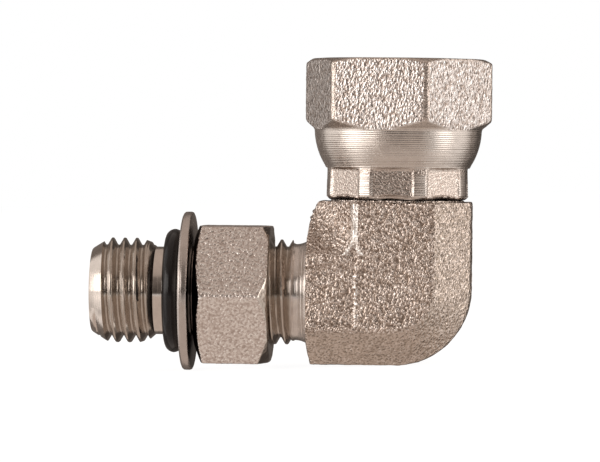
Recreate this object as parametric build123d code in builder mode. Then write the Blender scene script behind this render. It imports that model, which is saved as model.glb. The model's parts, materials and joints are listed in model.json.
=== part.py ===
"""Hydraulic elbow adapter: a forged steel 90 degree elbow with an adjustable
O-ring stud on one leg and a crimped-on female swivel nut on the other.

Millimetres, +Z up. The origin is where the axes of the two ports cross: the
swivel nut turns about +Z and the stud points along -X. The adapter stands on
the flat under its forged body and on the rim of its backup washer.
"""

import os
from math import cos, radians, tan

from build123d import *

os.makedirs("parts", exist_ok=True)

# Forged elbow body, seen square on to the plane of the two axes
body_half_thickness = 7.14
body_top = 9.6
body_bottom = 7.4
riser_half_width = 7.8
body_end = 9.15
heel_radius = 7.8
flat_half_width = 4.1
crotch_rise = 4.2
crotch_run = 1.05
crotch_fillet = 2.6
end_slope_rise = 1.9
end_slope_run = 0.35
forging_edge_radius = 0.8
machined_edge = 0.3

# Adjustable stud: a 7/16-20 straight thread in front of and behind an undercut
stud_thread_d = 11.0
stud_end_step = 1.05
front_thread_length = 6.75
undercut_step = 0.9
undercut_length = 6.65
rear_thread_length = 7.6
stud_neck_step = 0.365
stud_neck_length = 1.75
thread_chamfer_angle = 30.0
stud_bore_d = 4.4
bore_chamfer = 0.3

# Tail that carries the swivel nut, with a retaining bead and a sealing nose
tail_d = 10.7
bead_height = 1.15
bead_length = 2.0
nose_length = 2.6
nose_angle = 30.0
swivel_bore_d = 5.5
drill_point_angle = 118.0
drill_overrun = 0.8

# Swivel nut: hexagon above, turned skirt below, crimped in over the bead
swivel_across_flats = 17.46
swivel_turn = -10.8
swivel_gap = 0.2
swivel_face_step = 1.18
swivel_face_chamfer = 0.5
hex_length = 7.3
hex_shoulder_angle = 56.0
skirt_length = 7.4
skirt_wall = 1.94
skirt_round = 7.2
crimp_wall = 2.03
crimp_band_height = 3.4
crimp_edge_chamfer = 0.5
crimp_count = 8
crimp_width_angle = 33.0
crimp_turn = -2.0
crimp_lip_thickness = 2.9
swivel_clearance = 0.25
swivel_thread_minor_d = 12.08
swivel_thread_entry = 0.8
swivel_cavity_clearance = 0.3

# Lock nut on the rear thread
lock_wall = 1.645
lock_length = 7.9
lock_hex_drop = 0.28
lock_front_step = 2.25
lock_front_angle = 22.0
lock_back_step = 1.05
lock_back_angle = 43.0
lock_countersink = 0.4
thread_clearance = 0.05

# Backup washer and O-ring in the undercut
washer_overhang = 0.05
washer_thickness = 1.0
washer_edge = 0.25
washer_clearance = 0.1
washer_gap = 0.35
ring_section_d = 1.83
ring_clearance = 0.05
ring_gap = 0.03
ring_stand_off = 0.95

# Sizes that follow from the ones above
thread_r = stud_thread_d / 2
undercut_r = thread_r - undercut_step
neck_r = thread_r - stud_neck_step
rear_thread_end = body_end + stud_neck_length
rear_thread_start = rear_thread_end + rear_thread_length
front_thread_end = rear_thread_start + undercut_length
stud_length = front_thread_end + front_thread_length
edge_chamfer = riser_half_width - flat_half_width
swivel_foot = body_top + swivel_gap
bead_r = tail_d / 2 + bead_height
bead_start = swivel_foot + crimp_lip_thickness + swivel_clearance
bead_end = bead_start + bead_length
nose_tip = bead_end + nose_length
ring_front = front_thread_end - ring_stand_off
washer_front = ring_front - ring_section_d - ring_gap
washer_back = washer_front - washer_thickness
lock_face = washer_back - washer_gap
lock_flat_r = thread_r + lock_wall
lock_r = lock_flat_r / cos(radians(30))


# Elbow body. The forging is the outline of both legs at its full thickness.
with BuildPart() as elbow_body:
    with BuildSketch(Plane.XZ) as forging_outline:
        with BuildLine():
            crotch_low = (-body_end, body_top - crotch_rise)
            crotch_high = (-body_end + crotch_run, body_top)
            TangentArc(crotch_low, crotch_high, tangent=(0, 1))
            Polyline(
                crotch_high,
                (riser_half_width, body_top),
                (riser_half_width, -body_bottom),
                (-body_end + end_slope_run, -body_bottom),
                (-body_end, -body_bottom + end_slope_rise),
                crotch_low,
            )
        make_face()
        heel_vertex = forging_outline.vertices().group_by(Axis.Y)[0].sort_by(Axis.X)[-1]
        fillet(heel_vertex, radius=heel_radius)
    extrude(amount=body_half_thickness, both=True)

    # Outer long edges, up the riser, round the heel and along the foot
    outer_edges = (
        elbow_body.edges()
        .filter_by(lambda e: abs(abs(e.center().Y) - body_half_thickness) < 1e-6)
        .filter_by(lambda e: e.center().X + body_end > end_slope_run)
        .filter_by(lambda e: body_top - e.center().Z > 1e-6)
        .filter_by(lambda e: e.center().X > 0 or e.center().Z < 0)
    )
    chamfer(outer_edges, length=edge_chamfer)

    # The inner corner between the legs is dished on both sides of a web
    for side in (-1, 1):
        dish_size = body_end + body_top
        for depth in (0, edge_chamfer):
            dish_plane = Plane(
                origin=(0, side * (body_half_thickness - depth), 0),
                x_dir=(1, 0, 0),
                z_dir=(0, -1, 0),
            )
            dish_offset = flat_half_width + depth + dish_size / 2
            with BuildSketch(dish_plane):
                with Locations((-dish_offset, dish_offset)):
                    RectangleRounded(dish_size, dish_size, crotch_fillet)
        loft(ruled=True, mode=Mode.SUBTRACT)

    # Long forged edges are soft
    soft_edges = elbow_body.edges().filter_by(
        lambda e: abs(abs(e.center().Y) - body_half_thickness) < 1e-6
        and e.center().X + body_end > end_slope_run
        and body_top - e.center().Z > 1e-6
    )
    fillet(soft_edges, radius=forging_edge_radius)

    # Stud, turned about the horizontal axis
    with BuildSketch(Plane.XZ) as stud_profile:
        with BuildLine():
            chamfer_slope = tan(radians(thread_chamfer_angle))
            lead_in = stud_end_step / chamfer_slope
            run_out = undercut_step / chamfer_slope
            Polyline(
                (0, 0),
                (-stud_length, 0),
                (-stud_length, thread_r - stud_end_step),
                (-stud_length + lead_in, thread_r),
                (-front_thread_end - run_out, thread_r),
                (-front_thread_end, undercut_r),
                (-rear_thread_start, undercut_r),
                (-rear_thread_start + run_out, thread_r),
                (-rear_thread_end - stud_neck_step, thread_r),
                (-rear_thread_end, neck_r),
                (0, neck_r),
                (0, 0),
            )
        make_face()
    revolve(axis=Axis.X)

    # Tail, turned about the vertical axis
    nose_r = bead_r - nose_length * tan(radians(nose_angle))
    with BuildSketch(Plane.XZ) as tail_profile:
        with BuildLine():
            Polyline(
                (0, 0),
                (tail_d / 2, 0),
                (tail_d / 2, bead_start),
                (bead_r, bead_start + machined_edge),
                (bead_r, bead_end),
                (nose_r, nose_tip),
                (0, nose_tip),
                (0, 0),
            )
        make_face()
    revolve(axis=Axis.Z)

    # Flow bore, drilled down the tail and in through the stud
    drill_point = swivel_bore_d / 2 / tan(radians(drill_point_angle / 2))
    drill_depth = stud_bore_d / 2 + drill_overrun
    with BuildSketch(Plane.XZ) as swivel_bore_profile:
        with BuildLine():
            Polyline(
                (0, nose_tip),
                (swivel_bore_d / 2 + bore_chamfer, nose_tip),
                (swivel_bore_d / 2, nose_tip - bore_chamfer),
                (swivel_bore_d / 2, -drill_depth),
                (0, -drill_depth - drill_point),
                (0, nose_tip),
            )
        make_face()
    revolve(axis=Axis.Z, mode=Mode.SUBTRACT)
    with BuildSketch(Plane.XZ) as stud_bore_profile:
        with BuildLine():
            Polyline(
                (-stud_length, 0),
                (-stud_length, stud_bore_d / 2 + bore_chamfer),
                (-stud_length + bore_chamfer, stud_bore_d / 2),
                (0, stud_bore_d / 2),
                (0, 0),
                (-stud_length, 0),
            )
        make_face()
    revolve(axis=Axis.X, mode=Mode.SUBTRACT)
elbow_body.part.label = "elbow_body"
export_step(elbow_body.part, "parts/elbow_body.step")


# Swivel nut: one turned profile, trimmed by the hexagon
with BuildPart() as swivel_nut:
    hex_r = swivel_across_flats / 2 / cos(radians(30))
    hex_start = swivel_foot + skirt_length
    swivel_top = hex_start + hex_length
    band_top = swivel_foot + crimp_band_height
    lip_r = tail_d / 2 + swivel_clearance
    band_r = lip_r + crimp_wall
    cavity_r = bead_r + swivel_cavity_clearance
    skirt_r = cavity_r + skirt_wall
    shoulder_rise = (hex_r - skirt_r) / tan(radians(hex_shoulder_angle))
    thread_minor_r = swivel_thread_minor_d / 2
    with BuildSketch(Plane.XZ) as nut_profile:
        with BuildLine():
            skirt_fall = hex_start - band_top
            skirt_step = skirt_round - (skirt_round**2 - skirt_fall**2) ** 0.5
            skirt_end = (skirt_r - skirt_step, band_top)
            skirt_top = (skirt_r, hex_start)
            TangentArc(skirt_top, skirt_end, tangent=(0, -1))
            Polyline(
                skirt_end,
                (band_r, band_top),
                (band_r, swivel_foot + crimp_edge_chamfer),
                (band_r - crimp_edge_chamfer, swivel_foot),
                (lip_r, swivel_foot),
                (lip_r, swivel_foot + crimp_lip_thickness),
                (cavity_r, swivel_foot + crimp_lip_thickness + machined_edge),
                (cavity_r, hex_start),
                (thread_minor_r, hex_start + cavity_r - thread_minor_r),
                (thread_minor_r, swivel_top - swivel_thread_entry),
                (thread_minor_r + swivel_thread_entry, swivel_top),
                (hex_r - swivel_face_step, swivel_top),
                (hex_r, swivel_top - swivel_face_chamfer),
                (hex_r, hex_start + shoulder_rise),
                skirt_top,
            )
        make_face()
    revolve(axis=Axis.Z)
    with BuildSketch(Plane.XY.offset(swivel_foot)):
        RegularPolygon(swivel_across_flats / 2, 6, major_radius=False, rotation=swivel_turn)
    extrude(amount=swivel_top - swivel_foot, mode=Mode.INTERSECT)

    # Crimp marks: flats pressed into the band at the foot of the skirt
    mark_depth_r = band_r * cos(radians(crimp_width_angle / 2))
    mark_height = crimp_band_height - machined_edge
    with BuildSketch(Plane.XY.offset(swivel_foot)):
        with PolarLocations(0, crimp_count, start_angle=-90 + crimp_turn):
            with Locations((mark_depth_r + band_r / 2, 0)):
                Rectangle(band_r, band_r)
    extrude(amount=mark_height, mode=Mode.SUBTRACT)
swivel_nut.part.label = "swivel_nut"
export_step(swivel_nut.part, "parts/swivel_nut.step")


# Lock nut: hexagon with both faces turned back to a cone, the front one further.
# Its forged hexagon stands a little off the axis of its thread.
with BuildPart() as lock_nut:
    lock_bore_r = thread_r + thread_clearance
    lock_back = lock_face - lock_length
    front_fall = lock_front_step * tan(radians(lock_front_angle))
    back_fall = lock_back_step * tan(radians(lock_back_angle))
    turned_r = lock_r + lock_hex_drop
    with BuildSketch(Plane.XZ) as lock_profile:
        with BuildLine():
            Polyline(
                (-lock_face, lock_bore_r + lock_countersink),
                (-lock_face, lock_r - lock_front_step),
                (-lock_face + front_fall, lock_r),
                (-lock_face + front_fall, turned_r),
                (-lock_back - back_fall, turned_r),
                (-lock_back - back_fall, lock_r),
                (-lock_back, lock_r - lock_back_step),
                (-lock_back, lock_bore_r + lock_countersink),
                (-lock_back - lock_countersink, lock_bore_r),
                (-lock_face + lock_countersink, lock_bore_r),
                (-lock_face, lock_bore_r + lock_countersink),
            )
        make_face()
    revolve(axis=Axis.X)
    with BuildSketch(Plane.YZ.offset(-lock_face)):
        with Locations((0, -lock_hex_drop)):
            RegularPolygon(lock_flat_r, 6, major_radius=False)
    extrude(amount=lock_length, mode=Mode.INTERSECT)
lock_nut.part.label = "lock_nut"
export_step(lock_nut.part, "parts/lock_nut.step")


# Backup washer, with both edges of its rim broken
with BuildPart() as backup_washer:
    with BuildSketch(Plane.YZ.offset(-washer_front)):
        Circle(lock_r + washer_overhang)
        Circle(undercut_r + washer_clearance, mode=Mode.SUBTRACT)
    extrude(amount=washer_thickness)
    rim_edges = backup_washer.edges().filter_by(GeomType.CIRCLE).sort_by(SortBy.RADIUS)[-2:]
    chamfer(rim_edges, length=washer_edge)
backup_washer.part.label = "backup_washer"
export_step(backup_washer.part, "parts/backup_washer.step")


# O-ring, in front of the washer
with BuildPart() as o_ring:
    ring_middle_r = undercut_r + ring_clearance + ring_section_d / 2
    ring_x = ring_front - ring_section_d / 2
    with BuildSketch(Plane.XZ) as ring_section:
        with Locations((-ring_x, ring_middle_r)):
            Circle(ring_section_d / 2)
    revolve(axis=Axis.X)
o_ring.part.label = "o_ring"
export_step(o_ring.part, "parts/o_ring.step")
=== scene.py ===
# %% [markdown]
# A hydraulic elbow adapter, about 42 mm long, photographed on white. The real object is five pieces of
# zinc-plated steel and rubber: a forged elbow with a threaded stud on one leg, a swivel nut crimped on
# the other leg, and a lock nut, a backup washer and an O-ring on the stud. The solids, the joints and the
# real sizes come from the frame that is loaded first. Everything made here is laid over those solids.

# %% Load the frame
import bpy
import json
import math
import numpy as np
from mathutils import Matrix, Vector

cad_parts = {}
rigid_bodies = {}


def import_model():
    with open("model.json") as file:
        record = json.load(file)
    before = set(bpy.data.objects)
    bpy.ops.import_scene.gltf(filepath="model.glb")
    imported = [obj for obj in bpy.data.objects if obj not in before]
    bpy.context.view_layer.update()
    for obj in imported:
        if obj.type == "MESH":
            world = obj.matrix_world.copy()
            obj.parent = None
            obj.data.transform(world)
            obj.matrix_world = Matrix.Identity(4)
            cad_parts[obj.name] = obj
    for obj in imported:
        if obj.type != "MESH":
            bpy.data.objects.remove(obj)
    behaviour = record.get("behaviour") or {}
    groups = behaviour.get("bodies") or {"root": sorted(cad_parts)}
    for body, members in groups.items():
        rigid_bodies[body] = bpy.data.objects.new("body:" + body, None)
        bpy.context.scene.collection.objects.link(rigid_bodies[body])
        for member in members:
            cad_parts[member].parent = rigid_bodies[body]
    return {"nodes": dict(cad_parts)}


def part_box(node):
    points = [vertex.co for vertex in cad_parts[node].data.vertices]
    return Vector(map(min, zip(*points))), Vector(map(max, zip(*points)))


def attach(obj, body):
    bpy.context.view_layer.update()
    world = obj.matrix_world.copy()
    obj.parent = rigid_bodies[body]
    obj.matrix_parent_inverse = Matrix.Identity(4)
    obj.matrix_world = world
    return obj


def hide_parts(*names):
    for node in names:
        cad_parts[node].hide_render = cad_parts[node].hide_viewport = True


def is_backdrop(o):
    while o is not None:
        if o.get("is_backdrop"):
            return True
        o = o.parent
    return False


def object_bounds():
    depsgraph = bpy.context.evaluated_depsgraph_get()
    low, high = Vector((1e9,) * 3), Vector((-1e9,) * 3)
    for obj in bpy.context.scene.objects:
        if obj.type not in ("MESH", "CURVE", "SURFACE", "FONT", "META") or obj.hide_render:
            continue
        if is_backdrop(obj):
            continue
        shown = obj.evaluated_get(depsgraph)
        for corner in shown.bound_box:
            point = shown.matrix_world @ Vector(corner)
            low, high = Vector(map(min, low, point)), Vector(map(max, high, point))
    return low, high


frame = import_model()
cad_box = [list(corner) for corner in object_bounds()]
for name in frame["nodes"]:
    low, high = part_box(name)
    print(name, "from", [round(1000 * v, 2) for v in low], "to", [round(1000 * v, 2) for v in high], "mm")

# %% [markdown]
# The photograph was taken from far away with a long lens, a little above the stud's axis and to its
# right, and turned by half a degree. The place, the aim, the roll and the focal length were fitted
# together, so that the outlines of the render fall on those of the photograph.

# %% Camera
MM = 0.001
camera_place = Vector((18.34, -450.0, 15.93)) * MM
camera_target = Vector((-10.18, 0.0, 6.40)) * MM
camera_lens = 258.37
camera_roll = math.radians(0.6)
camera_data = bpy.data.cameras.new("photo_camera")
camera_data.lens = camera_lens
camera_data.sensor_width = 36.0
camera_data.clip_start = 0.01
camera_data.clip_end = 20.0
camera = bpy.data.objects.new("photo_camera", camera_data)
bpy.context.scene.collection.objects.link(camera)
aim = (camera_target - camera_place).to_track_quat("-Z", "Y").to_matrix().to_4x4()
camera.matrix_world = Matrix.Translation(camera_place) @ aim @ Matrix.Rotation(camera_roll, 4, "Z")
bpy.context.scene.camera = camera
bpy.context.scene.view_settings.view_transform = "Standard"
print("camera at", [round(v, 3) for v in camera.location], "with a", camera_lens, "mm lens")

# %% [markdown]
# Operators act on whatever is selected, and the frame arrives selected. So every step starts from a clean
# selection, and a small set of helpers keeps the steps short: one applies a modifier, one joins or cuts a
# solid with another, and one merges the corners that such cuts leave almost on top of each other.

# %% Helpers for operators
TINY = 0.001 * MM


def pick(piece):
    """Leaves edit mode and selects this piece alone."""
    if bpy.context.object and bpy.context.object.mode != "OBJECT":
        bpy.ops.object.mode_set(mode="OBJECT")
    bpy.ops.object.select_all(action="DESELECT")
    if piece:
        piece.select_set(True)
        bpy.context.view_layer.objects.active = piece


def apply_modifier(piece, kind, **settings):
    """Adds one modifier, gives it its settings and applies it."""
    pick(piece)
    modifier = piece.modifiers.new(kind.lower(), kind)
    for setting, value in settings.items():
        setattr(modifier, setting, value)
    bpy.ops.object.modifier_apply(modifier=modifier.name)


def combine(piece, tool, operation):
    """Unites, cuts or trims a closed solid with another one, which is used up."""
    apply_modifier(piece, "BOOLEAN", object=tool, operation=operation, solver="MANIFOLD")
    bpy.data.objects.remove(tool)


def weld(piece):
    """Merges the corners that the cuts left almost on top of each other."""
    pick(piece)
    bpy.ops.object.mode_set(mode="EDIT")
    bpy.ops.mesh.select_all(action="SELECT")
    bpy.ops.mesh.remove_doubles(threshold=TINY)
    bpy.ops.object.mode_set(mode="OBJECT")


def triangles_of(piece):
    return sum(len(face.vertices) - 2 for face in piece.data.polygons)


pick(None)
print("nothing is selected now:", len(bpy.context.selected_objects))

# %% [markdown]
# Most of this fitting came off a lathe. A turned solid is drawn as half of its section, by extruding one
# vertex from corner to corner, and then spun round its axis. Spin leaves the first and last copies of a
# corner on top of each other, so doubles are merged, and the normals are made to point outwards.

# %% Helpers for turned solids
TURN_STEPS = 128
X_AXIS, Z_AXIS = Vector((1, 0, 0)), Vector((0, 0, 1))


def wire(name, section, axis):
    """A chain of (distance along the axis, radius) corners in millimetres, which is left in edit mode."""
    along, out = (X_AXIS, Z_AXIS) if axis == "X" else (Z_AXIS, X_AXIS)
    corners = [(along * s + out * r) * MM for s, r in section]
    pick(None)
    bpy.ops.mesh.primitive_plane_add(size=MM)
    piece = bpy.context.object
    piece.name = name
    bpy.ops.object.mode_set(mode="EDIT")
    bpy.ops.mesh.merge(type="CENTER")
    bpy.ops.transform.translate(value=corners[0])
    for start, end in zip(corners, corners[1:]):
        bpy.ops.mesh.extrude_region_move(TRANSFORM_OT_translate={"value": end - start})
    return piece


def turned(name, section, axis, steps=TURN_STEPS):
    """A closed solid whose section is a chain of (distance along the axis, radius) corners in millimetres."""
    piece = wire(name, section, axis)
    bpy.ops.mesh.select_all(action="SELECT")
    bpy.ops.mesh.remove_doubles(threshold=TINY)
    along = X_AXIS if axis == "X" else Z_AXIS
    bpy.ops.mesh.spin(steps=steps, angle=math.tau, center=(0, 0, 0), axis=along)
    bpy.ops.mesh.select_all(action="SELECT")
    bpy.ops.mesh.remove_doubles(threshold=TINY)
    bpy.ops.mesh.normals_make_consistent(inside=False)
    bpy.ops.object.mode_set(mode="OBJECT")
    return piece


print("a turned solid has", TURN_STEPS, "steps round its axis")

# %% [markdown]
# A screw thread is one tooth of its section, carried round the axis while it climbs by one pitch a turn.
# The Screw modifier does just that. The tooth has the standard flanks of 60 degrees, a narrow crest and a
# rounded root. Both ends are closed with a fan of faces, so that the long screw is a solid, and the
# thread gets its true start and run-out when the screw is trimmed by a turned envelope. The thread is
# right-handed.

# %% Helper for threads
FLANK_SLOPE = 1 / math.tan(math.radians(30))
TOOTH_ROUNDING = 0.045


def thread_tooth(pitch, crest_r, root_r):
    """One tooth of the section, from root to root, with the crest in the middle."""
    flank = (crest_r - root_r) / FLANK_SLOPE
    crest = pitch / 12
    ease, drop = TOOTH_ROUNDING, TOOTH_ROUNDING * FLANK_SLOPE / 2
    half = [
        (crest - ease, crest_r),
        (crest + ease / 2, crest_r - drop),
        (crest + flank - ease / 2, root_r + drop),
        (crest + flank + ease, root_r),
        (pitch / 2, root_r),
    ]
    return [(pitch / 2 - s, r) for s, r in reversed(half)] + [(pitch / 2 + s, r) for s, r in half]


def screw_thread(name, pitch, crest_r, root_r, start, turns, axis="X"):
    """A closed, right-hand threaded rod that starts at this distance along the axis."""
    rod = wire(name, [(start + s, r) for s, r in thread_tooth(pitch, crest_r, root_r)], axis)
    bpy.ops.object.mode_set(mode="OBJECT")
    apply_modifier(
        rod, "SCREW", axis=axis, angle=math.tau, screw_offset=pitch * MM,
        steps=TURN_STEPS, render_steps=TURN_STEPS, iterations=turns,
    )
    middle = (start + turns * pitch / 2) * MM
    bpy.ops.object.mode_set(mode="EDIT")
    bpy.ops.mesh.select_all(action="SELECT")
    bpy.ops.mesh.remove_doubles(threshold=TINY)
    for end in (0, 1):
        bpy.ops.mesh.select_all(action="DESELECT")
        bpy.ops.mesh.select_mode(type="EDGE")
        bpy.ops.mesh.select_non_manifold()
        bpy.ops.object.mode_set(mode="OBJECT")
        for edge in [e for e in rod.data.edges if e.select]:
            corner = rod.data.vertices[edge.vertices[0]].co
            high = (corner.x if axis == "X" else corner.z) > middle
            edge.select = high == bool(end)
        bpy.ops.object.mode_set(mode="EDIT")
        bpy.ops.mesh.extrude_region_move()
        bpy.ops.mesh.merge(type="CENTER")
    bpy.ops.mesh.select_all(action="SELECT")
    bpy.ops.mesh.normals_make_consistent(inside=False)
    bpy.ops.mesh.select_mode(type="VERT")
    bpy.ops.object.mode_set(mode="OBJECT")
    return rod


print("a thread's flank climbs", round(FLANK_SLOPE, 3), "mm for each millimetre along the axis")

# %% [markdown]
# The stud carries two lengths of one 7/16-20 thread, with a plain undercut between them for the seal. The
# long screw is trimmed by a turned envelope, which has the lead-in cone at the tip and the undercut. The
# front thread fades out over nearly one and a half pitches, as in the photograph, so it starts to fade a
# little before the solid's run-out. Then the plain neck joins the stud. A round-nosed tool cut it, so it
# flares out where it meets the forging.

# %% Stud
body_low, body_high = (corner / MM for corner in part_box("elbow_body"))
stud_tip = body_low.x
stud_crest_r = 5.5
stud_root_r = 4.76
stud_pitch = 25.4 / 20
stud_clear_r = stud_crest_r + 0.01
tip_chamfer = 1.05
undercut_depth = 0.9
stud_tip_r = stud_crest_r - tip_chamfer
undercut_r = stud_crest_r - undercut_depth
neck_r = stud_crest_r - 0.365
front_thread_end = stud_tip + 6.75
rear_thread_start = front_thread_end + 6.65
rear_thread_end = rear_thread_start + 7.6
forging_face = rear_thread_end + 1.75
cone_run = 1 / math.tan(math.radians(30))
thread_start = stud_tip - 1.87 * stud_pitch
edge_break = 0.12
fade_length, fade_depth = 1.8, 0.4

stud = screw_thread("stud", stud_pitch, stud_crest_r, stud_root_r, thread_start, 20)
envelope = turned("envelope", [
    (stud_tip, 0),
    (stud_tip, stud_tip_r - edge_break),
    (stud_tip + edge_break, stud_tip_r),
    (stud_tip + tip_chamfer * cone_run, stud_clear_r),
    (front_thread_end - fade_length, stud_clear_r),
    (front_thread_end - fade_length / 3, stud_crest_r - fade_depth),
    (front_thread_end - 0.05, undercut_r),
    (rear_thread_start, undercut_r),
    (rear_thread_start + undercut_depth * cone_run, stud_clear_r),
    (rear_thread_end, stud_clear_r),
    (rear_thread_end, 0),
], "X")
combine(stud, envelope, "INTERSECT")


def neck_flare(radius, last_angle, step):
    """The arc by which the neck widens, from its waist to just short of the forging's face."""
    angles = [math.radians(angle) for angle in range(0, last_angle + 1, step)]
    foot = forging_face - 0.05 - radius * math.sin(angles[-1])
    return [(foot + radius * math.sin(a), neck_r - 0.1 + radius * (1 - math.cos(a))) for a in angles]


neck = turned("neck", [
    (rear_thread_end - 0.5, 0),
    (rear_thread_end - 0.5, stud_root_r - 0.1),
    (rear_thread_end, neck_r - 0.05),
    (rear_thread_end + 0.15, neck_r),
    *neck_flare(2.3, 36, 4),
    (forging_face + 0.5, neck_r + 0.33),
    (4.0, neck_r - 0.5),
    (4.0, 0),
], "X")
combine(stud, neck, "UNION")
print("stud:", triangles_of(stud), "triangles")

# %% [markdown]
# The forging is the one piece that no lathe touched. It could be boxed up by hand again, but the solid in
# the frame already has its outline, its bevels and its dished inner corner. So a copy of that solid is
# merged, cut free of the stud and the tail, and plugged where the two bores ran through it.

# %% Rough forging
def solid_copy(node, name):
    """A copy of a frame solid with its loose triangles merged into one closed surface."""
    piece = bpy.data.objects.new(name, frame["nodes"][node].data.copy())
    bpy.context.scene.collection.objects.link(piece)
    pick(piece)
    bpy.ops.object.mode_set(mode="EDIT")
    bpy.ops.mesh.select_all(action="SELECT")
    bpy.ops.mesh.remove_doubles(threshold=TINY)
    bpy.ops.object.mode_set(mode="OBJECT")
    return piece


def block(name, low, high):
    """A plain block between two corners in millimetres, used up as a cutter or trimmer."""
    low, high = Vector(low), Vector(high)
    pick(None)
    bpy.ops.mesh.primitive_cube_add(size=1, location=(low + high) / 2 * MM, scale=(high - low) * MM)
    bpy.ops.object.transform_apply(location=True, rotation=False, scale=True)
    bpy.context.object.name = name
    return bpy.context.object


forging_top = 9.6
forging_bottom = body_low.z
half_thickness = body_high.y
heel_x = body_high.x
forging = solid_copy("elbow_body", "elbow")
keep_low = (forging_face, -half_thickness - 1, forging_bottom - 1)
keep_high = (heel_x + 1, half_thickness + 1, forging_top)
combine(forging, block("keep", keep_low, keep_high), "INTERSECT")


def plug(name, start, end, axis):
    """A plain cylinder, wider than a bore, that fills it between two places on its axis."""
    return turned(name, [(start, 0), (start, 4.2), (end, 4.2), (end, 0)], axis)


combine(forging, plug("stud_plug", forging_face - 0.6, 3, "X"), "UNION")
combine(forging, plug("tail_plug", -5.5, forging_top + 0.6, "Z"), "UNION")
print("rough forging:", triangles_of(forging), "triangles")

# %% [markdown]
# A forging has no sharp edge, and its skin is uneven from the die and from shot blasting. A voxel remesh
# gives the whole block an even grid of small faces, and a light smoothing softens every edge at once.
# Then each corner of that grid can be moved. A procedural clouds texture pushes the skin in and out by a
# few hundredths of a millimetre.

# %% Forged skin
def clouds(name, size):
    """A procedural noise texture for the Displace modifier, with its blob size in millimetres."""
    texture = bpy.data.textures.new(name, "CLOUDS")
    texture.noise_scale = size * MM
    texture.noise_depth = 2
    texture.noise_basis = "ORIGINAL_PERLIN"
    return texture


def roughen(piece, name, size, height, group=""):
    """Pushes a skin in and out along its normals, by up to half this height in millimetres each way."""
    apply_modifier(
        piece, "DISPLACE", texture=clouds(name, size), strength=height * MM, mid_level=0.5,
        texture_coords="LOCAL", vertex_group=group,
    )


def even_skin(piece, voxel, smoothing):
    """Remeshes a closed solid to small even faces and softens its edges."""
    apply_modifier(piece, "REMESH", mode="VOXEL", voxel_size=voxel * MM, adaptivity=0.0)
    apply_modifier(piece, "SMOOTH", factor=0.5, iterations=smoothing)


def corners_of(piece):
    """All corners of a mesh in millimetres, as rows of X, Y and Z."""
    flat = np.empty(len(piece.data.vertices) * 3)
    piece.data.vertices.foreach_get("co", flat)
    return flat.reshape(-1, 3) / MM


def move_corners(piece, corners):
    """Puts the corners of a mesh at these places, again in millimetres."""
    piece.data.vertices.foreach_set("co", (corners * MM).ravel())
    piece.data.update()


even_skin(forging, 0.16, 3)
print("forged skin:", triangles_of(forging), "triangles")

# %% [markdown]
# Some marks of the die are too local for a modifier, so they are moved in code. Left of the middle of the
# front face the die stood a little prouder, so the forging is lower there, and that field ends in a small
# step. The long edge between the front and the dished corner carries a raised rib, which splits in two
# round a small pocket at its foot. The two halves of the die met in the plane of the axes, and some metal
# was squeezed out there, ragged at the inner corner.

# %% Marks of the die
def near(value, centre, width):
    """One at the centre, falling smoothly to nothing at this distance on both sides."""
    rise = np.clip(1 - np.abs(value - centre) / width, 0, 1)
    return rise ** 2 * (3 - 2 * rise)


def between(value, low, high, ease):
    """One between two limits, with an ease of this width at both ends."""
    rise = np.clip((value - low) / ease + 0.5, 0, 1)
    fall = np.clip((high - value) / ease + 0.5, 0, 1)
    return rise * rise * (3 - 2 * rise) * fall * fall * (3 - 2 * fall)


skin = corners_of(forging)
x, y, z = skin.T
front = between(y, -8.0, -half_thickness + 0.9, 0.5)
field_edge, field_top, field_foot, field_depth = -4.05, 3.0, -3.3, 0.26
field = between(x, -20, field_edge, 0.25) * between(z, field_foot, field_top, 0.9)
rib_x, rib_height = -4.15, 0.42
fork_top, fork_foot = 5.4, 4.1
fork_leans = (0.55, -0.75)
rib = near(x, rib_x, 0.55) * between(z, fork_top, 10, 1.2)
fork = np.zeros(len(x))
for lean in fork_leans:
    fork += near(x, rib_x + lean * np.clip(fork_top - z, 0, 2), 0.4) * between(z, fork_foot, fork_top, 0.5)
pocket = near(x, rib_x - 0.1, 0.6) * between(z, 3.9, 4.75, 0.5)
y += front * (field_depth * field - rib_height * (rib + 0.8 * fork) + 0.2 * pocket)

seam_height, flash_height = 0.07, 0.22
x += between(x, heel_x - 1.2, heel_x + 1, 1.2) * seam_height * near(y, 0.0, 0.35)
inner_corner = near(y, 0.2, 0.9) * between(z, 7.0, 9.4, 1.5) * between(x, -9.6, -8.0, 0.3)
x -= inner_corner * flash_height * (1 + np.sin(9 * z) * 0.6)
move_corners(forging, np.stack([x, y, z], axis=1))
roughen(forging, "die_waves", 1.1, 0.16)
roughen(forging, "blasted_skin", 0.4, 0.07)
print("lowest corner of the forged skin:", [round(v, 2) for v in corners_of(forging).min(axis=0)])

# %% [markdown]
# The tail stands up from the forging, inside the swivel nut. It has a bead for the nut to hang on, and
# ends in a nose with a 30 degree cone that seals the joint. From above, the nose and its bore show inside
# the nut. Under the nut, a low round land was turned on top of the forging.

# %% Tail and land
tail_r, bead_r = 5.35, 6.5
bead_start, nose_tip = 12.95, body_high.z
bead_end = bead_start + 2.0
nose_r = bead_r - 2.6 * math.tan(math.radians(30))
land_r, land_height = 7.05, 0.16
tail = turned("tail", [
    (-5.0, 0),
    (-5.0, tail_r),
    (forging_top - 0.3, tail_r),
    (bead_start, tail_r),
    (bead_start + 0.3, bead_r - 0.1),
    (bead_start + 0.5, bead_r),
    (bead_end - 0.1, bead_r),
    (bead_end + 0.1, bead_r - 0.1),
    (nose_tip - 0.1, nose_r + 0.06),
    (nose_tip, nose_r - 0.05),
    (nose_tip, 0),
], "Z")
land = turned("land", [
    (forging_top - 1, 0),
    (forging_top - 1, land_r),
    (forging_top + land_height, land_r - 0.1),
    (forging_top + land_height, 0),
], "Z")
print("tail:", triangles_of(tail), "triangles; land:", triangles_of(land), "triangles")

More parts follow.
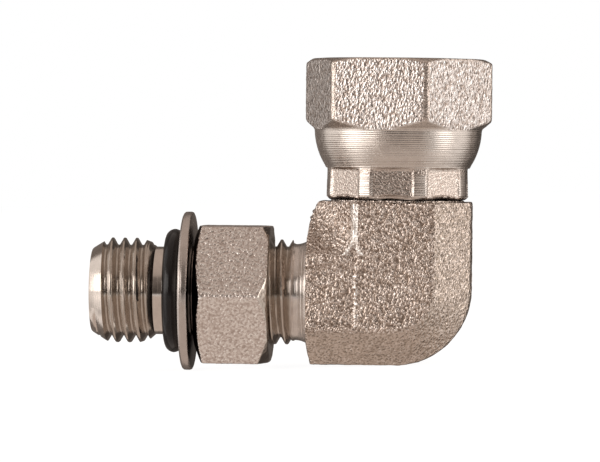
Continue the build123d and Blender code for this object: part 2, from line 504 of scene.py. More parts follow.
# %% [markdown]
# Forging, stud and tail are one piece of steel, so they are joined into one mesh. The two bores are cut
# last. The one from the nose ends in the cone of its drill, and the smaller one comes in through the
# stud.

# %% Elbow body
combine(forging, stud, "UNION")
combine(forging, land, "UNION")
combine(forging, tail, "UNION")
bore_r, stud_bore_r, chamfer = 2.75, 2.2, 0.3
drill_depth = stud_bore_r + 0.8
combine(forging, turned("nose_bore", [
    (nose_tip + 0.5, 0),
    (nose_tip + 0.5, bore_r + chamfer + 0.5),
    (nose_tip - chamfer, bore_r),
    (-drill_depth, bore_r),
    (-drill_depth - bore_r / math.tan(math.radians(59)), 0),
], "Z", 96), "DIFFERENCE")
combine(forging, turned("stud_bore", [
    (stud_tip - 0.5, 0),
    (stud_tip - 0.5, stud_bore_r + chamfer + 0.5),
    (stud_tip + chamfer, stud_bore_r),
    (0, stud_bore_r),
    (0, 0),
], "X", 96), "DIFFERENCE")
elbow = forging
weld(elbow)
print("elbow body:", triangles_of(elbow), "triangles")

# %% [markdown]
# The swivel nut is turned from a hexagon bar. One turned profile has its skirt, the shoulder cones and
# the crimped band, and a hexagonal prism trims it, which gives the curved lines where the cones meet the
# flats.

# %% Swivel nut blank
swivel_low, swivel_high = (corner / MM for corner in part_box("swivel_nut"))
swivel_foot, swivel_top = swivel_low.z, swivel_high.z
FLAT_SHARE = math.cos(math.radians(30))
hex_flat = 17.46 / 2
hex_turn = -10.8
hex_r = hex_flat / FLAT_SHARE
hex_start = swivel_foot + 7.4
band_top = swivel_foot + 3.4
band_r = 7.63
skirt_r = 8.74
skirt_round = 7.2
shoulder_rise = (hex_r - skirt_r) / math.tan(math.radians(56))
rim_bevel = 0.5


def hexagon(name, flat_r, low, high, axis, turn, offset=(0, 0, 0), edge=0.3):
    """A six-sided prism along an axis, with its long edges rounded and one of them at this angle."""
    pick(None)
    corner_r = flat_r / FLAT_SHARE
    bpy.ops.mesh.primitive_cylinder_add(vertices=6, radius=corner_r * MM, depth=(high - low) * MM)
    prism = bpy.context.object
    prism.name = name
    bpy.ops.object.mode_set(mode="EDIT")
    bpy.ops.mesh.select_all(action="SELECT")
    bpy.ops.object.mode_set(mode="OBJECT")
    for edge_line in prism.data.edges:
        ends = [prism.data.vertices[i].co for i in edge_line.vertices]
        edge_line.select = abs(ends[0].z - ends[1].z) > MM
    for vertex in prism.data.vertices:
        vertex.select = False
    for face in prism.data.polygons:
        face.select = False
    bpy.ops.object.mode_set(mode="EDIT")
    bpy.ops.mesh.select_mode(type="EDGE")
    bpy.ops.mesh.bevel(offset=edge * MM, segments=3, affect="EDGES")
    bpy.ops.mesh.select_mode(type="VERT")
    bpy.ops.object.mode_set(mode="OBJECT")
    along = X_AXIS if axis == "X" else Z_AXIS
    centre = Matrix.Translation(along * (low + high) / 2 * MM + Vector(offset) * MM)
    lay_down = Matrix.Rotation(math.radians(90), 4, "Y") if axis == "X" else Matrix.Identity(4)
    spin = Matrix.Rotation(math.radians(turn - 90), 4, "Z")
    prism.matrix_world = centre @ lay_down @ spin
    pick(prism)
    bpy.ops.object.transform_apply(location=True, rotation=True, scale=True)
    return prism


def rounded_skirt(steps):
    """The outline of the skirt, from the hexagon down to the band, as an arc that starts upright."""
    last_angle = math.asin((hex_start - band_top) / skirt_round)
    outline = []
    for step in range(steps + 1):
        a = last_angle * step / steps
        outline.append((hex_start - skirt_round * math.sin(a), skirt_r - skirt_round * (1 - math.cos(a))))
    return outline


swivel = turned("swivel", [
    (swivel_foot, 0),
    (swivel_foot, band_r - 0.5),
    (swivel_foot + 0.5, band_r),
    *reversed(rounded_skirt(12)),
    (hex_start + shoulder_rise, hex_r),
    (swivel_top - rim_bevel, hex_r),
    (swivel_top, hex_r - 1.18),
    (swivel_top, 0),
], "Z")
bar = hexagon("bar", hex_flat, swivel_foot - 1, swivel_top + 1, "Z", hex_turn)
combine(swivel, bar, "INTERSECT")
print("swivel blank:", triangles_of(swivel), "triangles")

# %% [markdown]
# The band is pressed in over the bead by eight jaws, and each leaves a flat mark with soft corners. Each
# jaw is a block with bevelled edges, which is turned to its place and cut out of the blank. The metal
# between two jaws is squeezed downwards, so the foot of the band is wavy.

# %% Crimp marks
jaws, jaw_turn = 8, -2.0
jaw_half_angle = math.radians(34.0 / 2)
jaw_bite = 0.2
jaw_flat_r = band_r * math.cos(jaw_half_angle) - jaw_bite
jaw_half_width = band_r * math.sin(jaw_half_angle)
jaw_foot, jaw_height = 0.35, 3.3
jaw_low = (-jaw_half_width, -jaw_flat_r - 3, swivel_foot + jaw_foot)
jaw_high = (jaw_half_width, -jaw_flat_r, swivel_foot + jaw_height)
swivel_voxel = 0.13
even_skin(swivel, swivel_voxel, 2)
for mark in range(jaws):
    jaw = block("jaw", jaw_low, jaw_high)
    apply_modifier(jaw, "BEVEL", width=0.15 * MM, segments=2)
    jaw.matrix_world = Matrix.Rotation(math.radians(jaw_turn + 360 / jaws * mark), 4, "Z")
    bpy.ops.object.transform_apply(location=True, rotation=True, scale=True)
    combine(swivel, jaw, "DIFFERENCE")
print("crimped swivel:", triangles_of(swivel), "triangles")

# %% [markdown]
# The skin of the nut is made even and rough in the same way as the forging's, but only on the flats,
# because the skirt was turned. Then the inside is cut out: a cavity that clears the bead, and a pipe
# thread above it.

# %% Swivel nut
even_skin(swivel, swivel_voxel, 2)
skin = corners_of(swivel)
x, y, z = skin.T
angle = np.arctan2(y, x)
foot, foot_wave = between(z, swivel_foot - 1, swivel_foot + 0.7, 0.8), 0.12
z -= foot * foot_wave * np.cos(jaws * (angle + math.radians(90 - jaw_turn) + math.pi / jaws))
np.maximum(z, swivel_foot, out=z)
move_corners(swivel, np.stack([x, y, z], axis=1))
flats = swivel.vertex_groups.new(name="flats")
weights = between(z, hex_start + 0.4, swivel_top - 0.4, 0.8)
for index, weight in enumerate(weights):
    if weight > 0:
        flats.add([index], float(weight), "REPLACE")
roughen(swivel, "hex_skin", 0.45, 0.11, "flats")
swivel.vertex_groups.clear()
lip_r, lip_height, cavity_r = 5.6, 2.9, 6.8
minor_r, major_r = 6.04, 6.8
thread_low, thread_high = hex_start + cavity_r - minor_r, swivel_top - 0.8
combine(swivel, turned("cavity", [
    (swivel_foot - 1, 0),
    (swivel_foot - 1, lip_r),
    (swivel_foot + lip_height, lip_r),
    (swivel_foot + lip_height + 0.3, cavity_r),
    (hex_start, cavity_r),
    (thread_low, minor_r),
    (thread_high, minor_r),
    (swivel_top + 0.5, minor_r + 1.3),
    (swivel_top + 0.5, 0),
], "Z"), "DIFFERENCE")
pipe_pitch = 25.4 / 18
pipe_thread = screw_thread("pipe_thread", pipe_pitch, major_r, minor_r - 0.02, thread_low - 1.5, 7, "Z")
combine(pipe_thread, turned("pipe_envelope", [
    (thread_low - 0.6, 0),
    (thread_low - 0.6, major_r + 0.01),
    (thread_high + 0.6, major_r + 0.01),
    (thread_high + 0.6, 0),
], "Z"), "INTERSECT")
combine(swivel, pipe_thread, "DIFFERENCE")
weld(swivel)
print("swivel nut:", triangles_of(swivel), "triangles")

# %% [markdown]
# The lock nut is a hexagon whose two faces are turned back to cones, the front one further. Its thread
# isn't quite in the middle of the hexagon, which shows in the photograph and is kept. The nut's thread is
# cut by a screw in phase with the stud's and a little larger, so that the nut turns on the stud without
# touching it.

# %% Lock nut
lock_low, lock_high = (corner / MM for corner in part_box("lock_nut"))
lock_face, lock_back = lock_low.x, lock_high.x
lock_flat = stud_crest_r + 1.645
lock_drop = 0.28
lock_r = lock_flat / FLAT_SHARE
lock_skin_r = lock_r + lock_drop
face_cut, back_cut = 2.25, 1.05
face_shoulder = lock_face + face_cut * math.tan(math.radians(22))
back_shoulder = lock_back - back_cut * math.tan(math.radians(43))
lock = turned("lock", [
    (lock_face, 0),
    (lock_face, lock_r - face_cut),
    (face_shoulder, lock_r),
    (face_shoulder, lock_skin_r),
    (back_shoulder, lock_skin_r),
    (back_shoulder, lock_r),
    (lock_back, lock_r - back_cut),
    (lock_back, 0),
], "X")
lock_bar = hexagon("lock_bar", lock_flat, lock_face - 1, lock_back + 1, "X", 90, (0, 0, -lock_drop), 0.2)
combine(lock, lock_bar, "INTERSECT")
even_skin(lock, 0.12, 2)
roughen(lock, "lock_waves", 1.4, 0.06)
roughen(lock, "lock_skin", 0.35, 0.05)
nut_slack, countersink = 0.05, 0.95
combine(lock, turned("lock_bore", [
    (lock_face - 0.5, 0),
    (lock_face - 0.5, stud_crest_r + countersink),
    (lock_face + countersink, stud_root_r + nut_slack),
    (lock_back - countersink, stud_root_r + nut_slack),
    (lock_back + 0.5, stud_crest_r + countersink),
    (lock_back + 0.5, 0),
], "X"), "DIFFERENCE")
lock_thread = screw_thread(
    "lock_thread", stud_pitch, stud_crest_r + nut_slack, stud_root_r + nut_slack - 0.02,
    thread_start + 6 * stud_pitch, 10,
)
combine(lock_thread, block("lock_span", (lock_face - 0.3, -9, -9), (lock_back + 0.3, 9, 9)), "INTERSECT")
combine(lock, lock_thread, "DIFFERENCE")
weld(lock)
print("lock nut:", triangles_of(lock), "triangles")

# %% [markdown]
# The backup washer is stamped from sheet and tumbled, so its rim is rounded, and more so in front than
# behind. The O-ring is moulded in two halves, and the fine line where they met runs round its outside.

# %% Washer and ring
washer_low, washer_high = (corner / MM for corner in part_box("backup_washer"))
rim_r = washer_high.z
hole_r = undercut_r + 0.1
front, back = washer_low.x, washer_high.x
washer = turned("washer", [
    (front + 0.08, hole_r),
    (front, hole_r + 0.1),
    (front, rim_r - 0.28),
    (front + 0.07, rim_r - 0.12),
    (front + 0.2, rim_r - 0.02),
    (front + 0.4, rim_r),
    (back - 0.22, rim_r),
    (back - 0.07, rim_r - 0.06),
    (back, rim_r - 0.2),
    (back, hole_r + 0.1),
    (back - 0.08, hole_r),
    (front + 0.08, hole_r),
], "X", 192)
ring_low, ring_high = (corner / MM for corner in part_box("o_ring"))
section_r = (ring_high.x - ring_low.x) / 2
ring_middle = ring_high.z - section_r
ring_centre = (ring_low.x + ring_high.x) / 2
ring_points = 48
seam_ridge = 0.015
section = []
for point in range(ring_points + 1):
    turn = math.tau * point / ring_points
    r = section_r - seam_ridge + seam_ridge * max(0, math.cos(turn)) ** 40
    section.append((ring_centre + r * math.sin(turn), ring_middle + r * math.cos(turn)))
ring = turned("ring", section, "X", 160)
print("washer:", triangles_of(washer), "triangles; ring:", triangles_of(ring), "triangles")

# %% [markdown]
# All the steel is zinc plated, so every finish on it is a metal, and what differs is the skin under the
# plating. The finishes share a few building blocks: a noise of a given grain in millimetres, a ramp that
# turns it into tones, and a bump. They read object coordinates, which are the frame's own metres.

# %% Building blocks for finishes
def finish(name, base, roughness, metallic=1.0):
    """A new material whose plain values are set on the shader itself."""
    material = bpy.data.materials.new(name)
    material.use_nodes = True
    shader = material.node_tree.nodes["Principled BSDF"]
    shader.inputs["Base Color"].default_value = (*base, 1)
    shader.inputs["Roughness"].default_value = roughness
    shader.inputs["Metallic"].default_value = metallic
    return material


def place(material, stretch=1.0, lean=0.0):
    """Object coordinates, with grains this many times longer along Z and leaning by these degrees."""
    nodes, links = material.node_tree.nodes, material.node_tree.links
    coordinates = nodes.new("ShaderNodeTexCoord")
    mapping = nodes.new("ShaderNodeMapping")
    mapping.vector_type = "TEXTURE"
    mapping.inputs["Scale"].default_value = (1, 1, stretch)
    mapping.inputs["Rotation"].default_value = (0, math.radians(lean), 0)
    links.new(coordinates.outputs["Object"], mapping.inputs["Vector"])
    return mapping.outputs["Vector"]


def grain(material, vector, size, detail=2.0, roughness=0.5):
    """Noise with blobs of this size in millimetres."""
    node = material.node_tree.nodes.new("ShaderNodeTexNoise")
    node.inputs["Scale"].default_value = 1 / (size * MM)
    node.inputs["Detail"].default_value = detail
    node.inputs["Roughness"].default_value = roughness
    material.node_tree.links.new(vector, node.inputs["Vector"])
    return node.outputs["Fac"]


def ramp(material, value, stops):
    """Turns a value into tones: stops are (position, colour or grey)."""
    node = material.node_tree.nodes.new("ShaderNodeValToRGB")
    while len(node.color_ramp.elements) < len(stops):
        node.color_ramp.elements.new(0.5)
    for element, (position, tone) in zip(node.color_ramp.elements, stops):
        element.position = position
        element.color = (tone, tone, tone, 1) if isinstance(tone, (int, float)) else (*tone, 1)
    material.node_tree.links.new(value, node.inputs["Fac"])
    return node.outputs["Color"]


def tint(material, below, above):
    """Multiplies one tone over another."""
    node = material.node_tree.nodes.new("ShaderNodeMix")
    node.data_type = "RGBA"
    node.blend_type = "MULTIPLY"
    node.inputs["Factor"].default_value = 1.0
    material.node_tree.links.new(below, node.inputs["A"])
    material.node_tree.links.new(above, node.inputs["B"])
    return node.outputs["Result"]


def add(material, first, second, weight):
    """The first value plus the second times a weight."""
    node = material.node_tree.nodes.new("ShaderNodeMath")
    node.operation = "MULTIPLY_ADD"
    node.inputs[1].default_value = weight
    material.node_tree.links.new(second, node.inputs[0])
    material.node_tree.links.new(first, node.inputs[2])
    return node.outputs["Value"]


def feed(material, socket, value):
    """Links a value to one socket of the shader."""
    material.node_tree.links.new(value, material.node_tree.nodes["Principled BSDF"].inputs[socket])


def bump(material, height, depth):
    """Feeds a height of this many millimetres to the shader's normal."""
    node = material.node_tree.nodes.new("ShaderNodeBump")
    node.inputs["Distance"].default_value = depth * MM
    node.inputs["Strength"].default_value = 1.0
    material.node_tree.links.new(height, node.inputs["Height"])
    feed(material, "Normal", node.outputs["Normal"])


# %% [markdown]
# The forging was shot blasted before it was plated. Its skin is a dense field of small dents, about a
# quarter of a millimetre across, and the plating is darker and browner in them. The sides of the heel and
# of the foot were trimmed and show less of it. The proud rib and the edge of the die's field are painted in
# a much paler tone, as a painted highlight.

# %% Forged finish
def forged_finish(name, low, middle, high, depth):
    """The plated skin of the forging: the tones from its dents up, and their depth in millimetres."""
    material = finish(name, middle, 0.24)
    dents = grain(material, place(material, 1.25, 25), 0.22, 0.8)
    broad = grain(material, place(material), 2.5, 3.0, 0.6)
    tone = ramp(material, dents, [(0.32, low), (0.5, middle), (0.68, high)])
    feed(material, "Base Color", tint(material, tone, ramp(material, broad, [(0.35, 0.88), (0.65, 1.0)])))
    feed(material, "Roughness", ramp(material, dents, [(0.3, 0.34), (0.6, 0.18)]))
    bump(material, add(material, dents, broad, 0.6), depth)
    return material


forged = forged_finish("forged_zinc", (0.32, 0.24, 0.19), (0.57, 0.47, 0.405), (0.78, 0.68, 0.615), 0.25)
trimmed = forged_finish("trimmed_zinc", (0.42, 0.34, 0.275), (0.60, 0.50, 0.43), (0.72, 0.62, 0.55), 0.18)
# This much paler finish is a painted highlight for the rib and the edge of the die's field.
ridge_highlight = finish("painted_ridge_highlight_zinc", (0.88, 0.82, 0.77), 0.32)
bump(ridge_highlight, grain(ridge_highlight, place(ridge_highlight), 0.3, 1.0), 0.16)

# %% [markdown]
# The flats of the two nuts keep the skin of the drawn bar. The swivel nut's has the stronger contrast,
# and the lock nut's is paler, with bright spots. The pressed finish is a darker tone for the crimp marks,
# which were squeezed, and it is painted shade along the long edges of the swivel nut's hexagon and on the
# bevel round its top.

# %% Bar finishes
coarse = finish("coarse_zinc", (0.74, 0.68, 0.64), 0.26)
lumps = grain(coarse, place(coarse, 1.5, 12), 0.25, 1.0, 0.5)
coarse_tones = [(0.34, (0.44, 0.36, 0.31)), (0.5, (0.74, 0.67, 0.63)), (0.7, (0.84, 0.80, 0.77))]
feed(coarse, "Base Color", ramp(coarse, lumps, coarse_tones))
feed(coarse, "Roughness", ramp(coarse, lumps, [(0.3, 0.36), (0.6, 0.24)]))
bump(coarse, lumps, 0.18)

satin = finish("satin_zinc", (0.74, 0.65, 0.60), 0.3)
spots = grain(satin, place(satin, 1.2, 30), 0.24, 1.0, 0.5)
satin_tones = [(0.3, (0.54, 0.45, 0.40)), (0.48, (0.75, 0.66, 0.61)), (0.64, (0.92, 0.86, 0.81))]
feed(satin, "Base Color", ramp(satin, spots, satin_tones))
feed(satin, "Roughness", ramp(satin, spots, [(0.3, 0.38), (0.6, 0.26)]))
bump(satin, spots, 0.15)

pressed_and_shade = finish("pressed_and_shaded_zinc", (0.66, 0.57, 0.51), 0.26)
prints = grain(pressed_and_shade, place(pressed_and_shade, 0.8), 0.22, 1.0)
feed(pressed_and_shade, "Base Color", ramp(pressed_and_shade, prints, [(0.3, (0.48, 0.39, 0.34)), (0.6, (0.68, 0.60, 0.54))]))
bump(pressed_and_shade, prints, 0.08)

# %% [markdown]
# Turned surfaces carry the fine rings that the tool left. They run round the axis, so the metal smears a
# reflection across the rings and keeps it sharp along them, which gives the long bright streaks on the
# skirt and the white band along the stud. The rings are bump that only changes along the section: its
# coordinate is the place along the axis plus a share of the distance from it, so that cones and faces
# carry rings as well. In the gap under the swivel nut and in the one between the lock nut and the washer
# the metal is painted near-black, as painted shade.

# %% Turned finishes
def tool_marks(material, axis, pitch, evenness):
    """Rings round an axis, this many millimetres apart, as a height that is more or less even."""
    nodes, links = material.node_tree.nodes, material.node_tree.links
    coordinates = nodes.new("ShaderNodeTexCoord")
    parts = nodes.new("ShaderNodeSeparateXYZ")
    links.new(coordinates.outputs["Object"], parts.inputs["Vector"])
    flatten = nodes.new("ShaderNodeVectorMath")
    flatten.operation = "MULTIPLY"
    flatten.inputs[1].default_value = (0, 1, 1) if axis == "X" else (1, 1, 0)
    links.new(coordinates.outputs["Object"], flatten.inputs[0])
    radius = nodes.new("ShaderNodeVectorMath")
    radius.operation = "LENGTH"
    links.new(flatten.outputs["Vector"], radius.inputs[0])
    along = add(material, parts.outputs[axis], radius.outputs["Value"], 0.8)
    uneven = nodes.new("ShaderNodeTexNoise")
    uneven.noise_dimensions = "1D"
    uneven.inputs["Scale"].default_value = 1 / (pitch * MM)
    uneven.inputs["Detail"].default_value = 2.0
    links.new(along, uneven.inputs["W"])
    phase = nodes.new("ShaderNodeMath")
    phase.operation = "MULTIPLY"
    phase.inputs[1].default_value = 2 * math.pi / (pitch * MM)
    links.new(along, phase.inputs[0])
    even = nodes.new("ShaderNodeMath")
    even.operation = "SINE"
    links.new(phase.outputs["Value"], even.inputs[0])
    return add(material, uneven.outputs["Fac"], even.outputs["Value"], evenness)


def turned_finish(name, axis, base, roughness, pitch, depth, evenness=0.15):
    """Zinc over a turned surface, with tool marks of this spacing and depth in millimetres."""
    material = finish(name, base, roughness)
    stains = grain(material, place(material), 0.9, 3.0, 0.6)
    stained = [0.86 * channel for channel in base]
    feed(material, "Base Color", ramp(material, stains, [(0.3, stained), (0.7, base)]))
    feed(material, "Roughness", ramp(material, stains, [(0.3, roughness - 0.05), (0.7, roughness + 0.07)]))
    bump(material, add(material, tool_marks(material, axis, pitch, evenness), stains, 0.25), depth)
    return material


skirt = turned_finish("turned_zinc", "Z", (0.73, 0.66, 0.605), 0.25, 0.24, 0.023, 0.4)
thread_steel = turned_finish("thread_zinc", "X", (0.56, 0.49, 0.43), 0.14, 0.15, 0.03)
smooth_steel = turned_finish("ground_zinc", "X", (0.72, 0.64, 0.58), 0.14, 0.15, 0.009)
neck_steel = turned_finish("neck_zinc", "X", (0.72, 0.65, 0.60), 0.2, 0.15, 0.035)
washer_steel = turned_finish("washer_zinc", "X", (0.62, 0.55, 0.51), 0.28, 0.3, 0.03)
# This near-black finish is painted shade for the gaps under the swivel nut and between the lock nut and the
# washer.
gap_shade_steel = finish("painted_gap_shade_zinc", (0.07, 0.055, 0.05), 0.3)
bump(gap_shade_steel, grain(gap_shade_steel, place(gap_shade_steel), 0.8), 0.02)

# %% [markdown]
# Nitrile rubber is black with a smooth, slightly oily skin.

# %% Rubber
rubber = finish("black_nitrile", (0.010, 0.008, 0.008), 0.2, 0.0)
rubber.node_tree.nodes["Principled BSDF"].inputs["Specular IOR Level"].default_value = 0.3
bump(rubber, grain(rubber, place(rubber), 0.5, 3.0, 0.6), 0.012)

# %% [markdown]
# Each piece gets its finishes by the place of its faces: what the lathe cut is shiny, and what it never
# touched keeps its skin. Then every piece is smoothed up to a sharp angle, rides on its body and stands for
# its solid.

# %% Finishes and bodies
def face_values(piece):
    """The middle and the normal of every face, in millimetres."""
    count = len(piece.data.polygons)
    middles, normals = np.empty(count * 3), np.empty(count * 3)
    piece.data.polygons.foreach_get("center", middles)
    piece.data.polygons.foreach_get("normal", normals)
    return middles.reshape(-1, 3) / MM, normals.reshape(-1, 3)


def dress(piece, finishes, choice):
    """Gives a piece these finishes, and each face the one of this number."""
    piece.data.materials.clear()
    for material in finishes:
        piece.data.materials.append(material)
    piece.data.polygons.foreach_set("material_index", choice.astype(np.int32))
    piece.data.update()


middles, normals = face_values(elbow)
x, y, z = middles.T
from_stud, from_tail = np.hypot(y, z), np.hypot(x, y)
on_stud = (x < forging_face + 0.3) & (from_stud < neck_r + 0.4)
on_neck = on_stud & (x > rear_thread_end - 0.05)
on_tail = (z > forging_top - 0.1) & (from_tail < bead_r + 0.1)
in_bores = (from_tail < bore_r + 0.02) | ((x < 0) & (from_stud < stud_bore_r + 0.02))
on_plain = on_stud & (x > front_thread_end - 0.1) & (x < rear_thread_start + 0.1)
on_plain |= on_stud & (x < stud_tip + 1.2)
# Painted highlight: the rib, its fork and broken stretches of the field's edge get the paler finish.
painted_highlight_faces = (np.abs(x - rib_x) < 0.36) & (z > fork_top) & (z < forging_top - 0.3)
for lean in fork_leans:
    on_arm = np.abs(x - rib_x - lean * (fork_top - z)) < 0.28
    painted_highlight_faces |= on_arm & (z > fork_foot) & (z <= fork_top)
highlight_stretch = np.sin(7.3 * z) + np.sin(17.0 * z) > -0.5
step_edge = np.abs(x - field_edge - 0.1 - 0.07 * np.sin(5 * z)) < 0.15 + 0.08 * np.sin(11 * z)
painted_highlight_faces |= step_edge & highlight_stretch & (z > field_foot) & (z < field_top)
painted_highlight_faces &= y < -half_thickness + 1.2
on_side = (np.abs(normals[:, 1]) < 0.87) & ((x > 0) | (z < forging_bottom + 3.5))
# Painted shade: the top of the forging under the swivel nut's foot gets the near-black finish.
shaded_under_nut = (normals[:, 2] > 0.9) & (z > forging_top - 0.2) & (from_tail < band_r) & (z < swivel_foot)
choice = np.zeros(len(middles), dtype=int)
regions = (on_side, painted_highlight_faces, on_stud | on_tail | in_bores, on_plain, on_neck, shaded_under_nut)
for number, region in enumerate(regions, start=1):
    choice[region] = number
dress(elbow, (forged, trimmed, ridge_highlight, thread_steel, smooth_steel, neck_steel, gap_shade_steel), choice)

middles, normals = face_values(swivel)
x, y, z = middles.T
from_axis = np.hypot(x, y)
flat_angles = [math.radians(hex_turn + 30 + 60 * flat) for flat in range(6)]
reach = np.max([x * math.cos(a) + y * math.sin(a) for a in flat_angles], axis=0)
on_flat = (z > hex_start - 0.1) & (z < swivel_top - 0.3)
on_flat &= (np.abs(normals[:, 2]) < 0.4) & (reach > hex_flat - 0.13)
shaded_hex_edge = on_flat & (from_axis > hex_r - 0.2)
outward = np.sum(middles[:, :2] * normals[:, :2], axis=1) / from_axis
in_mark = (z < swivel_foot + jaw_height) & (outward > 0.8)
in_mark &= (from_axis < band_r - 0.08) & (from_axis > jaw_flat_r - 0.1)
shaded_rim = (z > swivel_top - rim_bevel) & (from_axis > hex_flat - 0.6) & (normals[:, 2] < 0.95)
choice = np.ones(len(middles), dtype=int)
choice[on_flat] = 0
# Painted shade: the rounded long edges of the hexagon and the bevel round its top get the darker pressed
# finish; the crimp marks get it as pressed metal.
choice[in_mark | shaded_hex_edge | (shaded_rim & ~on_flat)] = 2
# Painted shade: the underside of the swivel nut's foot gets the near-black finish.
choice[(normals[:, 2] < -0.8) & (z < swivel_foot + 0.4)] = 3
dress(swivel, (coarse, skirt, pressed_and_shade, gap_shade_steel), choice)

middles, normals = face_values(lock)
x, y, z = middles.T
from_axis = np.hypot(y, z)
turned_back = (np.abs(normals[:, 0]) > 0.35) | (from_axis < stud_crest_r + 0.6)
# Painted shade: the lock nut's front cone and bore, which face the washer, get the near-black finish.
choice = np.where(turned_back, np.where(x < lock_face + 1.2, 2, 1), 0)
dress(lock, (satin, thread_steel, gap_shade_steel), choice)

middles, normals = face_values(washer)
x, y, z = middles.T
from_axis = np.hypot(y, z)
# Painted shade: the washer's back face, in the gap to the lock nut, gets the near-black finish up to 4 mm
# above the axis, so its top stays light.
shaded_gap = (normals[:, 0] > 0.5) & (from_axis < rim_r - 0.6) & (z < 4)
dress(washer, (washer_steel, gap_shade_steel), shaded_gap)
ring.data.materials.append(rubber)

roles = (
    (elbow, "elbow", "elbow_body", "forged_steel"),
    (swivel, "swivel", "swivel_nut", "turned_steel"),
    (lock, "lock", "lock_nut", "nut_steel"),
    (washer, "seal", "backup_washer", "washer_steel"),
    (ring, "seal", "o_ring", "seal_rubber"),
)
for piece, body, node, material_slot in roles:
    pick(piece)
    bpy.ops.object.shade_smooth_by_angle(angle=math.radians(38))
    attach(piece, body)
    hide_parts(node)
    print(piece.name, "rides on", body, "and stands for", node)

# %% [markdown]
# Polished metal shows nothing but its surroundings, so the studio is built as large cards. The
# reflections in the photograph tell where they stood: soft lights on both sides, a little above the
# horizon, with a weaker glow below them, a dark room in front, where the camera was, a dull ceiling, and
# white paper below. Pale walls close the sides, and behind them it is dark. The camera doesn't see the
# cards, and they aren't part of the object.

# %% Studio cards
studio_centre = Vector((-0.012, 0.0, 0.006))


def card(name, azimuths, elevations, glow_low, glow_high, distance, tone=(1.0, 0.95, 0.91)):
    """A card between two azimuths and two elevations, that glows more or less from its foot to its top.

    Azimuth 0 is the camera's side and 90 the right."""
    a, e = math.radians(sum(azimuths) / 2), math.radians(sum(elevations) / 2)
    towards = Vector((math.sin(a) * math.cos(e), -math.cos(a) * math.cos(e), math.sin(e)))
    pick(None)
    bpy.ops.mesh.primitive_plane_add(size=1)
    plane = bpy.context.object
    plane.name = name
    spans = (azimuths[1] - azimuths[0], elevations[1] - elevations[0])
    size = [2 * distance * math.tan(math.radians(span) / 2) for span in spans]
    turn = (-towards).to_track_quat("Z", "Y").to_matrix().to_4x4()
    centre = Matrix.Translation(studio_centre + towards * distance)
    plane.matrix_world = centre @ turn @ Matrix.Diagonal((*size, 1, 1))
    material = bpy.data.materials.new(name)
    material.use_nodes = True
    nodes = material.node_tree.nodes
    nodes.remove(nodes["Principled BSDF"])
    glow = nodes.new("ShaderNodeEmission")
    glow.inputs["Color"].default_value = (*tone, 1)
    coordinates = nodes.new("ShaderNodeTexCoord")
    parts = nodes.new("ShaderNodeSeparateXYZ")
    fade = nodes.new("ShaderNodeMapRange")
    settings = {"From Min": -0.5, "From Max": 0.5, "To Min": glow_low, "To Max": glow_high}
    for setting, value in settings.items():
        fade.inputs[setting].default_value = value
    links = material.node_tree.links
    links.new(coordinates.outputs["Object"], parts.inputs["Vector"])
    links.new(parts.outputs["Y"], fade.inputs["Value"])
    links.new(fade.outputs["Result"], glow.inputs["Strength"])
    links.new(glow.outputs[0], nodes["Material Output"].inputs["Surface"])
    plane.data.materials.append(material)
    plane.visible_camera = False
    plane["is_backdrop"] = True


warm = (1.0, 0.86, 0.77)
card("left_light", (-79, -53), (-2, 27), 3.4, 3.4, 1.2)
card("left_soft", (-54, -27), (0, 26), 2.7, 2.7, 1.25)
card("right_light", (61, 81), (-2, 27), 3.0, 3.0, 1.2)
card("left_glow", (-76, -54), (-48, -4), 0.9, 1.9, 1.3)
card("right_glow", (60, 78), (-48, -4), 0.7, 1.1, 1.3)
card("left_shine", (-100, -40), (-36, -3), 0.6, 0.95, 1.35)
card("right_shine", (44, 100), (-36, -3), 0.7, 1.0, 1.35)
card("left_wall", (-124, -76), (-60, 60), 1.0, 1.0, 1.5)
card("right_wall", (76, 122), (-60, 60), 1.12, 1.12, 1.5)
card("left_dark", (-165, -122), (-60, 60), 0.2, 0.2, 1.4, warm)
card("right_dark", (118, 142), (-60, 60), 0.28, 0.28, 1.4, warm)
card("right_back", (138, 165), (-60, 60), 0.08, 0.08, 1.35, warm)
card("behind", (160, 200), (-60, 60), 0.14, 0.14, 1.5, warm)
card("camera_side", (-12, 12), (-7, 38), 0.05, 0.2, 1.45, warm)
card("front_room", (-52, 52), (-9, 40), 0.16, 0.32, 1.6, warm)
card("upper_room", (-60, 60), (38, 78), 0.42, 0.6, 1.6, warm)
card("ceiling", (-40, 40), (74, 150), 0.5, 0.6, 1.7, warm)
card("paper_below", (-75, 75), (-165, -12), 0.64, 0.64, 1.5, warm)

# %% [markdown]
# The world is white for what the camera and the metal see, and weaker as a light on matt things. The
# adapter rests on the foot of its forging and on the rim of the washer, so the table tips by about two
# degrees. To the camera it is nearly the white of the background, with a faint shadow.

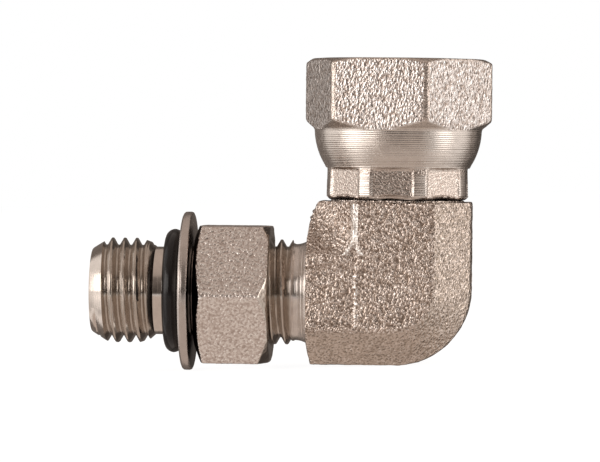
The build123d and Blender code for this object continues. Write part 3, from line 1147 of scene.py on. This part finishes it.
# %% World and table
world = bpy.data.worlds.new("white_tent")
bpy.context.scene.world = world
world.use_nodes = True
nodes, links = world.node_tree.nodes, world.node_tree.links
path = nodes.new("ShaderNodeLightPath")
clear_view = nodes.new("ShaderNodeMath")
clear_view.operation = "MAXIMUM"
links.new(path.outputs["Is Camera Ray"], clear_view.inputs[0])
links.new(path.outputs["Is Glossy Ray"], clear_view.inputs[1])
clearest = nodes.new("ShaderNodeMath")
clearest.operation = "MAXIMUM"
links.new(clear_view.outputs["Value"], clearest.inputs[0])
links.new(path.outputs["Is Transmission Ray"], clearest.inputs[1])
level = nodes.new("ShaderNodeMapRange")
level.inputs["To Min"].default_value = 0.7
level.inputs["To Max"].default_value = 1.0
links.new(clearest.outputs["Value"], level.inputs["Value"])
nodes["Background"].inputs["Color"].default_value = (1, 1, 1, 1)
links.new(level.outputs["Result"], nodes["Background"].inputs["Strength"])

rest_washer = Vector((washer_low.x + 0.5, 0, washer_low.z))
rest_foot = Vector((0.0, 0, forging_bottom))
pick(None)
bpy.ops.mesh.primitive_plane_add(size=3.0)
table = bpy.context.object
table.name = "table"
slope = math.atan2(rest_foot.z - rest_washer.z, rest_foot.x - rest_washer.x)
table_place = (rest_foot - Vector((0, 0, 0.02))) * MM
table.matrix_world = Matrix.Translation(table_place) @ Matrix.Rotation(-slope, 4, "Y")
paper = bpy.data.materials.new("white_paper")
paper.use_nodes = True
nodes, links = paper.node_tree.nodes, paper.node_tree.links
path = nodes.new("ShaderNodeLightPath")
shadowed = nodes["Principled BSDF"]
shadowed.inputs["Base Color"].default_value = (0.8, 0.78, 0.76, 1)
shadowed.inputs["Roughness"].default_value = 0.9
shadowed.inputs["Specular IOR Level"].default_value = 0.1
pale = nodes.new("ShaderNodeEmission")
pale.inputs["Strength"].default_value = 1.22
seen = nodes.new("ShaderNodeMixShader")
share = nodes.new("ShaderNodeMath")
share.operation = "MULTIPLY"
share.inputs[1].default_value = 0.78
links.new(path.outputs["Is Camera Ray"], share.inputs[0])
links.new(share.outputs["Value"], seen.inputs["Fac"])
links.new(shadowed.outputs["BSDF"], seen.inputs[1])
links.new(pale.outputs["Emission"], seen.inputs[2])
links.new(seen.outputs["Shader"], nodes["Material Output"].inputs["Surface"])
table.data.materials.append(paper)
table.visible_glossy = False
table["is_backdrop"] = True
print("table slope", round(math.degrees(slope), 2), "degrees")

# %% [markdown]
# Last, the box of the finished model is printed as its gaps from the box of the solids, so that the two
# can be compared.

# %% Finish
visual_box = [list(corner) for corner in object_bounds()]
for side, cad_corner, visual_corner in zip(("low", "high"), cad_box, visual_box):
    gaps = [round(1000 * (v - c), 3) for c, v in zip(cad_corner, visual_corner)]
    print(side, gaps, "mm from the solids' box")
